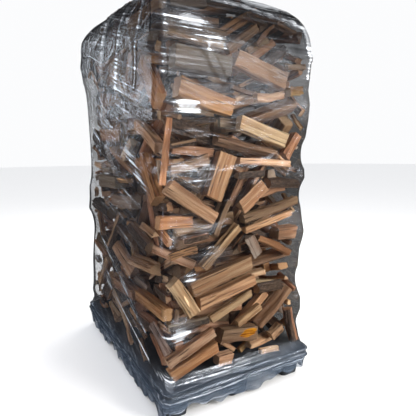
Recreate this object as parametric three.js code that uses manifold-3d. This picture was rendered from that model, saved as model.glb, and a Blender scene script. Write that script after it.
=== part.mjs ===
// Firewood bundle: split logs tipped loose onto a nestable plastic pallet, a cover sheet laid
// over the domed top, and clear stretch film wound round the whole load down to the pallet rim.
//
// Millimetres, +Z up.  The origin is on the floor under the middle of the pallet.  The long
// side of the pallet runs along Y; the short front side faces -Y.

import * as THREE from 'three';
import { mergeVertices } from 'three/addons/utils/BufferGeometryUtils.js';
import { ConvexGeometry } from 'three/addons/geometries/ConvexGeometry.js';
import Module from 'manifold-3d';

const wasm = await Module();
wasm.setup();

// ---------------------------------------------------------------- driving dimensions

const HALF_WIDTH = 400;          // half of the wrapped load across X
const HALF_LENGTH = 600;         // half of the wrapped load along Y
const TOP_HEIGHT = 1905;         // crown of the cover sheet

const PALLET_TOP = 145;          // deck surface that the logs stand on
const DECK_THICK = 14;           // deck plate
const RIM_DEPTH = 40;            // skirt round the deck edge, from the deck surface down
const RIM_THICK = 14;
const RIB_THICK = 10;
const RIB_DEPTH = 30;            // ribs under the deck, from the deck surface down
const PALLET_SIDE_GAP = 2.5;     // deck edge to the outside of the film
const PALLET_CORNER = 30;        // plan radius of the deck corners
const FOOT_X = 318;              // outer feet, centre to centre line
const FOOT_Y = 505;
const FOOT_TOP = 66;             // half width of a foot where it meets the deck
const FOOT_BOTTOM = 48;          // half width of a foot on the floor
const FOOT_CORNER = 18;

const FILM_THICK = 1.2;          // several turns of film, drawn as one wall
const FILM_GAP = 2.4;            // clear space kept between film and what it covers
const LOAD_CORNER = 46;          // plan radius of the wound load at its upright edges
const CORNER_DROOP = 22;         // the shoulders sag this much below the mid sides
const DROOP_FROM = 1500;         // height where that sag begins
const DROOP_OVER = 200;
const DROOP_FULL_WIDTH = 340;    // half width below which the sag fades out to the crown
const LEAN_SIDE = 20;            // above it the load is lower by this at its right side
const LEAN_FRONT = 26;           // and by this at its front, and as much higher opposite
const LOG_CLEARANCE = 8;         // nearest that a log comes to the film's outer face
const LOG_GAP = 0.8;             // clear space kept between one log and the next
const HEAP_INSET = 15;           // the heap of unseen logs ends this far inside the film
const HEAP_TOP_DROP = 22;        // and this far below the cover sheet
const PUSH_STEP = 3;             // how finely a log is pushed into the load
const PUSH_NEAR = 54;            // a log lies this near behind the film if it finds room
const PUSH_DEEP = 240;           // deepest that one of these logs goes
const SHIFT_STEP = 6;
const SHIFT_LIMIT = 60;          // how far it is shifted along or up its side to find room

// The wound load in outline: half width across X against height, hem to crown.  The film grips
// the pallet rim, sweeps in to the logs, and bulges again before the shoulders round over.
const LOAD_OUTLINE = [
  [400, 104],
  [400, 150],
  [392, 168],
  [380, 205],
  [373, 290],
  [376, 600],
  [380, 1000],
  [385, 1300],
  [388, 1560],
  [385, 1645],
  [378, 1695],
  [367, 1736],
  [349, 1772],
  [323, 1802],
  [286, 1831],
  [243, 1855],
  [184, 1880],
  [121, 1896],
  [60, 1903.5],
  [0, TOP_HEIGHT],
];
const WRAP_TOP_POINTS = 14;      // the wound film stops at this point of the outline
const SHEET_FIRST_POINT = 8;     // the cover sheet's hem hangs down to this one
const RIM_POINTS = 2;            // outline points that lie on the pallet rim

// Cross-sections of a split log on a unit square: across the log, then outwards.
const SECTIONS = {
  slab: [[-0.5, -0.36], [0.46, -0.5], [0.5, 0.5], [-0.46, 0.42]],
  slat: [[-0.5, -0.5], [0.48, -0.42], [0.5, 0.5], [-0.48, 0.46]],
  stick: [[-0.46, -0.5], [0.5, -0.4], [0.4, 0.5], [-0.5, 0.34]],
  quarter: [[-0.32, -0.2], [0.04, -0.5], [0.38, -0.14], [0.5, 0.5], [-0.5, 0.44]],
  wedge: [[0.08, -0.5], [0.5, 0.5], [-0.5, 0.44]],
  ridge: [[-0.5, -0.5], [0.5, -0.42], [0.16, 0.5], [-0.12, 0.45]],
  round: [[-0.5, -0.34], [0.5, -0.4], [0.5, 0.06], [0.28, 0.4], [-0.06, 0.5], [-0.4, 0.3]],
  billet: [[-0.44, -0.5], [0.5, -0.42], [0.46, 0.5], [-0.5, 0.4]],
};

const TONES = {
  pale: 0xc9a983,
  tan: 0xb98a60,
  orange: 0xb0763f,
  red: 0x9a6446,
  brown: 0x7d5a42,
  grey: 0x8d8178,
};

// The logs that lie against the film where it shows them best.  Each row: tone, cut, facing,
// along, height, tilt, swing, length, width, depth.  Facing is the way the log's outer side
// looks: 0 to the front (-Y), 90 to the left (-X), 45 out of the upright edge between them.
// Along is measured on that side, to the right as seen from outside.  Tilt lifts the right
// end; swing pushes the right end into the load.  The first row of two that meet lies outside.
const FACE_LOGS = [
  ['pale', 'slab', 0, -202, 1580, -8, 0, 250, 80, 56],
  ['grey', 'slab', 0, -172, 1478, -4, 3, 262, 88, 66],
  ['tan', 'slab', 0, 112, 1468, -15, 0, 276, 72, 56],
  ['orange', 'slab', 0, -156, 1342, -15, 4, 270, 82, 62],
  ['pale', 'slab', 0, 132, 1208, -17, 0, 268, 70, 44],
  ['tan', 'slab', 0, -88, 1022, 68, 0, 200, 94, 52],
  ['tan', 'slab', 0, -226, 916, -35, 0, 262, 64, 44],
  ['tan', 'stick', 0, -86, 716, 41, 0, 244, 40, 40],
  ['tan', 'slab', 0, -80, 584, 13, 0, 318, 72, 56],
  ['tan', 'slab', 0, -48, 504, 12, 0, 300, 58, 50],
  ['pale', 'slat', 0, -240, 286, 22, 0, 244, 42, 38],
  ['orange', 'slab', 0, -222, 222, 19, 0, 240, 58, 50],
  ['brown', 'ridge', 0, 252, 358, 43, -4, 244, 76, 64],
  ['brown', 'slab', 0, 14, 282, -9, 0, 202, 74, 60],
  ['orange', 'stick', 22, -118, 1086, 83, 0, 262, 26, 28],
  ['pale', 'slab', 0, -276, 552, -58, 0, 184, 58, 50],
  ['tan', 'stick', 0, 24, 1596, 35, 0, 180, 42, 40],
  ['red', 'round', 0, 226, 1546, 36, -4, 146, 60, 52],
  ['tan', 'billet', 0, 276, 1424, -3, 6, 88, 56, 56],
  ['pale', 'slat', 0, 160, 1366, 8, 0, 152, 36, 36],
  ['brown', 'ridge', 0, 222, 1300, 18, -6, 256, 80, 70],
  ['orange', 'billet', 0, 316, 1384, 8, 4, 80, 40, 46],
  ['brown', 'ridge', 0, 48, 1148, -12, 0, 318, 56, 56],
  ['brown', 'round', 0, -170, 1200, -17, 5, 280, 72, 64],
  ['red', 'slab', 0, 306, 1150, 55, 0, 124, 52, 46],
  ['pale', 'slat', 0, 148, 1080, -4, 0, 288, 32, 36],
  ['grey', 'quarter', 0, 64, 1024, 3, 0, 146, 32, 42],
  ['red', 'round', 0, 238, 1026, -3, 4, 190, 50, 56],
  ['tan', 'wedge', 0, 96, 946, 36, 0, 158, 70, 52],
  ['tan', 'quarter', 0, 250, 944, 14, -8, 140, 54, 54],
  ['brown', 'slat', 0, 186, 858, 12, 0, 320, 40, 46],
  ['tan', 'quarter', 0, 170, 804, 12, 0, 276, 32, 46],
  ['orange', 'slab', 0, -290, 836, -3, 4, 156, 56, 50],
  ['brown', 'billet', 0, 290, 736, -3, 8, 132, 62, 66],
  ['orange', 'stick', 0, 210, 684, -27, 0, 216, 36, 40],
  ['grey', 'wedge', 0, 52, 702, -62, 0, 104, 58, 46],
  ['brown', 'ridge', 0, 226, 602, 8, -5, 240, 70, 62],
  ['tan', 'quarter', 0, -34, 436, 20, 0, 232, 42, 46],
  ['orange', 'round', 0, 196, 474, -5, 5, 160, 46, 50],
  ['tan', 'slat', 0, 68, 356, 24, 0, 144, 34, 36],
  ['tan', 'stick', 0, -34, 226, -38, 0, 150, 28, 32],
  ['tan', 'billet', 0, -70, 188, -5, 4, 80, 54, 52],
  ['tan', 'billet', 0, 236, 190, 30, 0, 74, 42, 46],
  ['orange', 'slab', 90, 438, 1404, -48, 0, 226, 88, 46],
  ['orange', 'slab', 90, 388, 1010, -52, 0, 216, 92, 50],
  ['tan', 'slat', 42, 96, 650, -20, 0, 190, 38, 40],
  ['grey', 'quarter', 90, 292, 1304, -14, 0, 290, 56, 56],
  ['tan', 'slab', 90, 400, 1200, -26, 0, 240, 48, 46],
  ['tan', 'slab', 90, -90, 1215, -2, 0, 322, 64, 56],
  ['brown', 'round', 90, 40, 1320, 2, 0, 280, 58, 56],
  ['orange', 'slab', 90, 352, 444, 2, 0, 320, 58, 54],
  ['tan', 'ridge', 90, 250, 600, 5, 0, 290, 72, 60],
  ['brown', 'round', 90, -360, 800, -4, 0, 316, 76, 64],
  ['grey', 'slab', 90, -190, 966, 1, 0, 314, 74, 60],
  ['grey', 'slab', 90, 40, 884, 3, 0, 316, 68, 58],
  ['red', 'slab', 90, 0, 412, 4, 0, 312, 64, 56],
];

// ---------------------------------------------------------------- solids and cuts

function toSolid(geometry) {
  const bare = geometry.clone();
  bare.deleteAttribute('normal');
  bare.deleteAttribute('uv');
  const merged = mergeVertices(bare, 1e-3);
  const vertProperties = new Float32Array(merged.attributes.position.array);
  const triVerts = new Uint32Array(merged.index.array);
  return new wasm.Manifold(new wasm.Mesh({ numProp: 3, vertProperties, triVerts }));
}

function toGeometry(solid) {
  const mesh = solid.getMesh();
  const geometry = new THREE.BufferGeometry();
  geometry.setAttribute('position', new THREE.BufferAttribute(mesh.vertProperties, 3));
  geometry.setIndex(new THREE.BufferAttribute(mesh.triVerts, 1));
  return geometry;
}

// Keeps the triangles of the largest connected body and drops loose slivers left by a cut.
function largestBody(geometry) {
  const index = geometry.index.array;
  const leader = Array.from({ length: geometry.attributes.position.count }, (_, i) => i);
  const find = (i) => {
    while (leader[i] !== i) {
      leader[i] = leader[leader[i]];
      i = leader[i];
    }
    return i;
  };
  for (let t = 0; t < index.length; t += 3) {
    leader[find(index[t])] = find(index[t + 1]);
    leader[find(index[t + 1])] = find(index[t + 2]);
  }
  const counts = new Map();
  for (let t = 0; t < index.length; t += 3) {
    const body = find(index[t]);
    counts.set(body, (counts.get(body) ?? 0) + 1);
  }
  const biggest = [...counts].sort((one, other) => other[1] - one[1])[0][0];
  const kept = [];
  for (let t = 0; t < index.length; t += 3) {
    if (find(index[t]) === biggest) kept.push(index[t], index[t + 1], index[t + 2]);
  }
  geometry.setIndex(kept);
  return geometry;
}

// ---------------------------------------------------------------- rounded-rectangle lofts

// Plan points of a rounded rectangle: each corner is an arc, each side has equal steps.
function planPoints(halfX, halfY, radius, arcSteps, sideSteps) {
  const points = [];
  const centres = [[1, -1], [1, 1], [-1, 1], [-1, -1]];
  centres.forEach(([sx, sy], corner) => {
    const cx = sx * (halfX - radius);
    const cy = sy * (halfY - radius);
    for (let k = 0; k <= arcSteps; k += 1) {
      const angle = (corner - 1 + k / arcSteps) * (Math.PI / 2);
      points.push([cx + radius * Math.cos(angle), cy + radius * Math.sin(angle)]);
    }
    const [nx, ny] = centres[(corner + 1) % 4];
    const end = points[points.length - 1];
    const turn = corner * (Math.PI / 2);
    const start = [
      nx * (halfX - radius) + radius * Math.cos(turn),
      ny * (halfY - radius) + radius * Math.sin(turn),
    ];
    for (let k = 1; k < sideSteps; k += 1) {
      const part = k / sideSteps;
      points.push([end[0] + (start[0] - end[0]) * part, end[1] + (start[1] - end[1]) * part]);
    }
  });
  return points;
}

// How much lower the leaning top is at a place in plan.
function leanAt(x, y) {
  return (LEAN_SIDE * x) / HALF_WIDTH - (LEAN_FRONT * y) / HALF_LENGTH;
}

// How far each plan point of a ring sags: nothing mid side or at the crown, the full droop at
// the corners of the shoulders, and the lean of the top besides.  It is taken from the film's
// own outline, so that nested walls sag alike.
function ringDroop(ring, arcSteps, sideSteps) {
  if (!ring.film) return () => 0;
  const { halfX, halfY, radius, height } = ring.film;
  const plan = planPoints(halfX, halfY, radius, arcSteps, sideSteps);
  const below = THREE.MathUtils.smoothstep(height, DROOP_FROM, DROOP_FROM + DROOP_OVER);
  const ramp = below * THREE.MathUtils.smoothstep(halfX, 0, DROOP_FULL_WIDTH);
  return (column) => {
    const [x, y] = plan[column];
    const near = Math.min(1, Math.abs(x * y) / Math.max(1, halfX * halfY));
    return CORNER_DROOP * near * near * ramp + leanAt(x, y) * below;
  };
}

// A closed skin through rings of the same plan shape.  A ring with no width is a pole; rings
// that return to the first one make a hollow wall.  It is a lathe whose circle is squared.
function loft(rings, arcSteps, sideSteps) {
  const columns = 4 * (arcSteps + sideSteps);
  const profile = rings.map((ring) => new THREE.Vector2(ring.halfX, ring.height));
  const geometry = new THREE.LatheGeometry(profile, columns);
  const position = geometry.attributes.position;
  rings.forEach((ring, row) => {
    const plan = planPoints(ring.halfX, ring.halfY, ring.radius, arcSteps, sideSteps);
    const droop = ringDroop(ring, arcSteps, sideSteps);
    for (let column = 0; column <= columns; column += 1) {
      const [x, y] = plan[column % columns];
      const z = ring.height - droop(column % columns);
      position.setXYZ(column * rings.length + row, x, y, z);
    }
  });
  geometry.deleteAttribute('uv');
  geometry.deleteAttribute('normal');
  return mergeVertices(geometry, 1e-3);
}

// The ring of the load's outline at one point, moved inwards by a depth along its own normal.
function loadRing(point, depth) {
  const last = LOAD_OUTLINE.length - 1;
  const before = LOAD_OUTLINE[Math.max(0, point - 1)];
  const after = LOAD_OUTLINE[Math.min(last, point + 1)];
  const run = point === last ? -1 : after[0] - before[0];
  const rise = point === last ? 0 : after[1] - before[1];
  const reach = Math.hypot(run, rise);
  const [half, height] = LOAD_OUTLINE[point];
  const inward = (depth * rise) / reach;
  const down = (-depth * run) / reach;
  const share = half / HALF_WIDTH;
  const corner = point < RIM_POINTS ? PALLET_CORNER : LOAD_CORNER * share;
  return {
    halfX: Math.max(0, half - inward),
    halfY: Math.max(0, HALF_LENGTH * share - inward),
    radius: Math.max(0, corner - inward),
    height: height - down,
    film: { halfX: half, halfY: HALF_LENGTH * share, radius: corner, height },
  };
}

// ---------------------------------------------------------------- pallet

function box(width, length, low, high, x = 0, y = 0) {
  const geometry = new THREE.BoxGeometry(width, length, high - low);
  return geometry.translate(x, y, (low + high) / 2);
}

function plate(halfX, halfY, radius, low, high) {
  const rings = [
    { halfX: 0, halfY: 0, radius: 0, height: low },
    { halfX, halfY, radius, height: low },
    { halfX, halfY, radius, height: high },
    { halfX: 0, halfY: 0, radius: 0, height: high },
  ];
  return loft(rings, 4, 1);
}

function foot(x, y) {
  const deep = PALLET_TOP - DECK_THICK / 2;
  const rings = [
    { halfX: 0, halfY: 0, radius: 0, height: 0 },
    { halfX: FOOT_BOTTOM, halfY: FOOT_BOTTOM, radius: FOOT_CORNER, height: 0 },
    { halfX: FOOT_TOP, halfY: FOOT_TOP, radius: FOOT_CORNER, height: deep },
    { halfX: 0, halfY: 0, radius: 0, height: deep },
  ];
  return loft(rings, 3, 1).translate(x, y, 0);
}

// One moulding: deck plate, rim, crossing ribs and nine tapered feet.
function palletGeometry() {
  const halfX = HALF_WIDTH - PALLET_SIDE_GAP;
  const halfY = HALF_LENGTH - PALLET_SIDE_GAP;
  const rimLow = PALLET_TOP - RIM_DEPTH;
  const ribLow = PALLET_TOP - RIB_DEPTH;
  const innerCorner = PALLET_CORNER - RIM_THICK;
  let solid = toSolid(plate(halfX, halfY, PALLET_CORNER, rimLow, PALLET_TOP));
  const hollow = plate(
    halfX - RIM_THICK, halfY - RIM_THICK, innerCorner, rimLow - 10, PALLET_TOP - DECK_THICK,
  );
  solid = solid.subtract(toSolid(hollow));
  for (const x of [-FOOT_X, -FOOT_X / 2, 0, FOOT_X / 2, FOOT_X]) {
    solid = solid.add(toSolid(box(RIB_THICK, 2 * halfY - RIM_THICK, ribLow, PALLET_TOP - 2, x)));
  }
  for (const y of [-FOOT_Y, -FOOT_Y / 2, 0, FOOT_Y / 2, FOOT_Y]) {
    const rib = box(2 * halfX - RIM_THICK, RIB_THICK, ribLow, PALLET_TOP - 2, 0, y);
    solid = solid.add(toSolid(rib));
  }
  for (const x of [-FOOT_X, 0, FOOT_X]) {
    for (const y of [-FOOT_Y, 0, FOOT_Y]) solid = solid.add(toSolid(foot(x, y)));
  }
  return toGeometry(solid);
}

// ---------------------------------------------------------------- film

const FILM_ARC_STEPS = 4;
const FILM_SIDE_STEPS = 12;

// The wound film: a wall from its hem under the pallet rim to a lip over the shoulders.
function wrapGeometry() {
  const outside = [];
  const inside = [];
  for (let point = 0; point < WRAP_TOP_POINTS; point += 1) {
    outside.push(loadRing(point, 0));
    inside.push(loadRing(point, FILM_THICK));
  }
  const rings = [...outside, ...inside.reverse(), outside[0]];
  return loft(rings, FILM_ARC_STEPS, FILM_SIDE_STEPS);
}

// The cover sheet: over the crown, and down inside the wound film to its hem.
function sheetGeometry() {
  const tucked = FILM_THICK + FILM_GAP;
  const last = LOAD_OUTLINE.length - 1;
  const outside = [];
  const inside = [];
  for (let point = SHEET_FIRST_POINT; point <= last; point += 1) {
    const depth = point < WRAP_TOP_POINTS ? tucked : 0;
    outside.push(loadRing(point, depth));
    inside.push(loadRing(point, depth + FILM_THICK));
  }
  const rings = [...inside.reverse(), ...outside];
  return loft(rings, FILM_ARC_STEPS, FILM_SIDE_STEPS);
}

// ---------------------------------------------------------------- logs

// Half width of the load at a height on its upright walls.
function halfWidthAt(height) {
  const above = LOAD_OUTLINE.findIndex((point) => point[1] >= height);
  const [highHalf, high] = LOAD_OUTLINE[above];
  const [lowHalf, low] = LOAD_OUTLINE[above - 1];
  return lowHalf + ((highHalf - lowHalf) * (height - low)) / (high - low);
}

// Signed distance in plan from a point to the film at its height: negative inside.
function outsideFilm(point) {
  const half = halfWidthAt(point.z + droopAllowance(point));
  const share = half / HALF_WIDTH;
  const radius = LOAD_CORNER * share;
  const overX = Math.abs(point.x) - (half - radius);
  const overY = Math.abs(point.y) - (HALF_LENGTH * share - radius);
  const away = Math.hypot(Math.max(overX, 0), Math.max(overY, 0));
  return away + Math.min(Math.max(overX, overY), 0) - radius;
}

// The sag of the film above a point, so that a log under a shoulder is kept below it.
function droopAllowance(point) {
  const half = halfWidthAt(point.z);
  const corner = (half * half * HALF_LENGTH) / HALF_WIDTH;
  const near = Math.min(1, Math.abs(point.x * point.y) / corner);
  const from = DROOP_FROM - CORNER_DROOP;
  const ramp = THREE.MathUtils.smoothstep(point.z, from, from + DROOP_OVER);
  return (CORNER_DROOP * Math.sqrt(near) + Math.max(0, leanAt(point.x, point.y))) * ramp;
}

// A split log: its cross-section carried along X, a little thinner at one end, with the ends
// cut slightly askew and the section turned a touch from end to end.
function logGeometry(cut, length, width, depth, number) {
  const outline = SECTIONS[cut].map(([across, out]) => new THREE.Vector2(across, out));
  const options = { depth: 1, bevelEnabled: false, steps: 1 };
  const geometry = new THREE.ExtrudeGeometry(new THREE.Shape(outline), options);
  const position = geometry.attributes.position;
  const wave = Math.sin(number * 2.4);
  const taper = 0.08 + 0.05 * wave;
  const skew = 0.12 * Math.cos(number * 1.7);
  for (let i = 0; i < position.count; i += 1) {
    const end = position.getZ(i) - 0.5;
    const across = position.getX(i) * width * (1 - taper * (0.5 + end * Math.sign(wave)));
    const out = position.getY(i) * depth * (1 - 0.5 * taper * (0.5 - end * Math.sign(wave)));
    position.setXYZ(i, end * length + skew * across * Math.sign(end), across, out);
  }
  geometry.deleteAttribute('normal');
  geometry.deleteAttribute('uv');
  return mergeVertices(geometry, 1e-3);
}

// The axes of a log that faces a given way: along itself, across itself, and outwards.
function logAxes(facing, tilt, swing) {
  const turn = THREE.MathUtils.degToRad(facing);
  const lift = THREE.MathUtils.degToRad(tilt);
  const inward = THREE.MathUtils.degToRad(swing);
  const out = new THREE.Vector3(-Math.sin(turn), -Math.cos(turn), 0);
  const right = new THREE.Vector3(Math.cos(turn), -Math.sin(turn), 0);
  const up = new THREE.Vector3(0, 0, 1);
  const along = right.clone().multiplyScalar(Math.cos(lift)).addScaledVector(up, Math.sin(lift));
  const across = up.clone().multiplyScalar(Math.cos(lift)).addScaledVector(right, -Math.sin(lift));
  const axis = along.clone().multiplyScalar(Math.cos(inward));
  axis.addScaledVector(out, -Math.sin(inward));
  const normal = new THREE.Vector3().crossVectors(axis, across);
  return { out, right, axis, across, normal };
}

// Separating-axis test between two oriented boxes, with a gap kept between them.
function boxesMeet(one, other) {
  const apart = new THREE.Vector3().subVectors(other.centre, one.centre);
  const tests = [...one.axes, ...other.axes];
  for (const a of one.axes) {
    for (const b of other.axes) {
      const cross = new THREE.Vector3().crossVectors(a, b);
      if (cross.lengthSq() > 1e-6) tests.push(cross.normalize());
    }
  }
  return tests.every((axis) => {
    const spread = [one, other].reduce((sum, item) => (
      sum + item.axes.reduce((part, own, k) => part + item.half[k] * Math.abs(own.dot(axis)), 0)
    ), 0);
    return Math.abs(apart.dot(axis)) < spread + LOG_GAP;
  });
}

function boxCorners(item, grow = 0) {
  const corners = [];
  for (const i of [-1, 1]) {
    for (const j of [-1, 1]) {
      for (const k of [-1, 1]) {
        const corner = item.centre.clone();
        corner.addScaledVector(item.axes[0], i * (item.half[0] + grow));
        corner.addScaledVector(item.axes[1], j * (item.half[1] + grow));
        corner.addScaledVector(item.axes[2], k * (item.half[2] + grow));
        corners.push(corner);
      }
    }
  }
  return corners;
}

// Pushes a log in from outside until it is clear of the film, the deck and every log laid
// before it.  Returns false if that takes it deeper behind the film than the limit.
function pushIn(item, laid, along, height, limit) {
  item.centre.copy(item.right).multiplyScalar(along).setZ(height);
  item.centre.addScaledVector(item.out, HALF_LENGTH + HALF_WIDTH);
  let depth = 0;
  while (depth <= limit) {
    const corners = boxCorners(item);
    if (corners.some((corner) => corner.z < PALLET_TOP + LOG_GAP)) return false;
    const inside = corners.every((corner) => outsideFilm(corner) < -LOG_CLEARANCE);
    if (inside && !laid.some((other) => boxesMeet(item, other))) return true;
    if (corners.some((corner) => outsideFilm(corner) < -LOG_CLEARANCE)) depth += PUSH_STEP;
    item.centre.addScaledVector(item.out, -PUSH_STEP);
  }
  return false;
}

// Small shifts along and up the side, nearest first.
function nearbyShifts() {
  const shifts = [];
  for (let along = -SHIFT_LIMIT; along <= SHIFT_LIMIT; along += SHIFT_STEP) {
    for (let up = -SHIFT_LIMIT; up <= SHIFT_LIMIT; up += SHIFT_STEP) shifts.push([along, up]);
  }
  return shifts.sort((one, other) => Math.hypot(...one) - Math.hypot(...other));
}

// Lays each log against the film.  One that finds no room close behind the film is shifted a
// little to find it, or else goes deeper, behind the logs in front.
function layLogs() {
  const laid = [];
  const shifts = nearbyShifts();
  FACE_LOGS.forEach((row, number) => {
    const [tone, cut, facing, along, height, tilt, swing, length, width, depth] = row;
    const axes = logAxes(facing, tilt, swing);
    const geometry = logGeometry(cut, length, width, depth, number);
    geometry.computeBoundingBox();
    const size = geometry.boundingBox.getSize(new THREE.Vector3());
    const middle = geometry.boundingBox.getCenter(new THREE.Vector3());
    geometry.translate(-middle.x, -middle.y, -middle.z);
    const item = {
      name: `${tone}_${cut}_${String(number + 1).padStart(2, '0')}`,
      tone,
      geometry,
      out: axes.out,
      right: axes.right,
      axes: [axes.axis, axes.across, axes.normal],
      half: [size.x / 2, size.y / 2, size.z / 2],
      centre: new THREE.Vector3(),
    };
    const fits = (limit) => shifts.find(([side, up]) => (
      pushIn(item, laid, along + side, height + up, limit)
    ));
    const shift = fits(PUSH_NEAR) ?? fits(PUSH_DEEP);
    if (!shift) throw new Error(`${item.name} finds no place`);
    laid.push(item);
  });
  return laid;
}

// The heap of all the other logs: one lumpy solid that fills the load to just inside the
// film, with a pocket open to the outside for each log that is laid against the film.
function heapGeometry(laid) {
  const rings = [{ halfX: 0, halfY: 0, radius: 0, height: PALLET_TOP + LOG_GAP }];
  const first = loadRing(RIM_POINTS + 1, HEAP_INSET);
  rings.push({ ...first, height: PALLET_TOP + LOG_GAP });
  for (let point = RIM_POINTS + 1; point < LOAD_OUTLINE.length; point += 1) {
    const depth = point < WRAP_TOP_POINTS ? HEAP_INSET : HEAP_TOP_DROP;
    rings.push(loadRing(point, depth));
  }
  let solid = toSolid(loft(rings, 3, 3));
  laid.forEach((item) => {
    const near = boxCorners(item, LOG_GAP);
    const far = near.map((corner) => corner.clone().addScaledVector(item.out, 2 * HALF_WIDTH));
    solid = solid.subtract(toSolid(new ConvexGeometry([...near, ...far])));
  });
  return largestBody(toGeometry(solid));
}

// ---------------------------------------------------------------- materials and assembly

function wood(tone) {
  return new THREE.MeshStandardMaterial({ color: TONES[tone], roughness: 0.8, metalness: 0 });
}

function film(opacity) {
  return new THREE.MeshStandardMaterial({
    color: 0xdfe6ee, roughness: 0.2, metalness: 0, transparent: true, opacity,
  });
}

const bundle = new THREE.Group();

function addPiece(name, geometry, material) {
  const mesh = new THREE.Mesh(geometry, material);
  mesh.name = name;
  bundle.add(mesh);
  return mesh;
}

const blackPlastic = new THREE.MeshStandardMaterial({
  color: 0x23262b, roughness: 0.55, metalness: 0,
});
addPiece('pallet', palletGeometry(), blackPlastic);

const laidLogs = layLogs();
laidLogs.forEach((item) => {
  const mesh = addPiece(item.name, item.geometry, wood(item.tone));
  mesh.quaternion.setFromRotationMatrix(new THREE.Matrix4().makeBasis(...item.axes));
  mesh.position.copy(item.centre);
});

addPiece('log_heap', heapGeometry(laidLogs), wood('brown'));
addPiece('cover_sheet', sheetGeometry(), film(0.3));
addPiece('stretch_wrap', wrapGeometry(), film(0.25));

export default bundle;
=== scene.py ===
"""Firewood bundle: split logs tipped onto a plastic pallet, a cover sheet over the domed top,
and clear stretch film wound round the load.  Metres, +Z up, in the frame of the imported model."""

import bpy
import numpy as np
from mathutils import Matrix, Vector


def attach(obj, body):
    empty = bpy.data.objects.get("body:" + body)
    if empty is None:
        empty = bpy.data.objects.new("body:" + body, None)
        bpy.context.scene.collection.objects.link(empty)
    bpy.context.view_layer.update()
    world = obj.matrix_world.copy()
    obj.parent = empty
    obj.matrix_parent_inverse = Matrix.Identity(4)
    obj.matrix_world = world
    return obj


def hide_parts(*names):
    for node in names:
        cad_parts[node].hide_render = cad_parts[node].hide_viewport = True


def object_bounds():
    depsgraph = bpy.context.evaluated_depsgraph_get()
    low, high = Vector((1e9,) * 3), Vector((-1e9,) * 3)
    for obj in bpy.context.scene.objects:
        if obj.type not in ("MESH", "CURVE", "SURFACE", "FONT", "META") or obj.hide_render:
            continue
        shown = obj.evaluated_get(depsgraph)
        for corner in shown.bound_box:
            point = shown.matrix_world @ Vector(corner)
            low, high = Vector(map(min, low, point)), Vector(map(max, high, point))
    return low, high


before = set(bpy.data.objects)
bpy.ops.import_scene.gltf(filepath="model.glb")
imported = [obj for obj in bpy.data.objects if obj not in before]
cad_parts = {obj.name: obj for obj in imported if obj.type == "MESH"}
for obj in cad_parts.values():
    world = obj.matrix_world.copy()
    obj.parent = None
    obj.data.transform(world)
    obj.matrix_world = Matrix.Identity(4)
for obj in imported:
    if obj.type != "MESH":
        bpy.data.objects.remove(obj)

FRAME_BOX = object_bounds()
BODY = "root"
TAU = 2 * np.pi

# ------------------------------------------------------------------ driving values, in metres

FRONT, LEFT, BACK, RIGHT = 0.0, 90.0, 180.0, 270.0   # the ways that the sides of the load look

# Half width of the load across X against height, hem of the film to crown.
OUTLINE = np.array([
    (0.400, 0.104), (0.400, 0.150), (0.392, 0.168), (0.380, 0.205), (0.373, 0.290),
    (0.376, 0.600), (0.380, 1.000), (0.385, 1.300), (0.388, 1.560), (0.385, 1.645),
    (0.378, 1.695), (0.367, 1.736), (0.349, 1.772), (0.323, 1.802), (0.286, 1.831),
    (0.243, 1.855), (0.184, 1.880), (0.121, 1.896), (0.060, 1.9035), (0.000, 1.905),
])
HALF_WIDTH = 0.400
PLAN_RATIO = 1.5             # length of the load over its width
FILM_CORNER = 0.038          # plan radius of the load at its upright edges
CORNER_SAG = 0.022           # the shoulders sag this much below the mid sides
LEAN_SIDE, LEAN_FRONT = 0.020, 0.026   # the top is lower at the right and at the front
SAG_FROM, SAG_OVER = 1.50, 0.20        # sag and lean fade in over this much above this height
DECK_TOP = 0.145
LEFT_LOGS_FROM = 44          # the numbered logs from this one on lie against the left side
RIM_LOW = 0.105              # lower edge of the pallet's rim
WRAP_LIP = 0.318             # the wound film ends where the half width has shrunk to this
SHEET_HEM = 1.56             # height of the cover sheet's hem inside the wound film

LOG_OVERHANG = 0.003         # loose logs may stand this far out of the outline
FILM_BULGE = 0.008           # the film may stand this far outside the outline
EDGE_BULGE = 0.007           # and this much more at its upright edges
FILM_DENTS = 0.036           # and is drawn in no further than this behind it
LOG_GAP = 0.0006             # clear space between logs
LOG_CRUSH = 0.92             # share of its box that a loose log really needs
PUSH_STEP = 0.006            # logs are pushed in by steps of this

# The heap is filled in turns: how far logs are pushed in from a side, and their size.
FILL_TURNS = ((0.09, 1.0), (0.16, 0.85), (0.22, 0.6), (0.26, 0.45))
EDGE_TRIES, SIDE_TRIES, TOP_TRIES = 170, 400, 320
EDGE_DEEPER = 0.11           # from an upright edge they are pushed in this much further
TOP_PUSH, TOP_PUSH_MORE = 0.14, 0.03   # from the top this far, and more by this in each turn
FILL_LOW, FILL_HIGH = 0.17, 1.78       # middles of the logs along the sides lie between these
CLEAR_STEP, CLEAR_STEPS = 0.03, 5      # the way out is kept clear in front of numbered logs

CORE_REACH = (0.215, 0.40)   # half width and half length of the deep courses
CORE_COURSES, CORE_PITCH = 18, 0.0945
CORE_LINE, CORE_LOG = 0.09, 0.087      # from one deep log to the next, and their thickness

FILM_COLUMNS = 396
FILM_STEP = 0.0105           # rows of the film surfaces lie this far apart
FILM_REACH = 0.15            # logs are looked for as far in as this from the film
FILM_LIFT = 0.0035           # the film stays this far off the logs
HEM_DROP = 0.068             # the loose hem hangs this far below the pallet's rim
HEM_ROWS = 14
LEAST_DEPTH = 0.0005         # and the film always lies at least this far in
ROPES = ((0.017, 0.9, 0.3), (0.029, -1.6, 2.1), (0.011, 2.3, 4.0))   # spacing, slant, phase
ROPE_MIDDLE, ROPE_SPREAD = 0.118, 0.042

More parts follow.
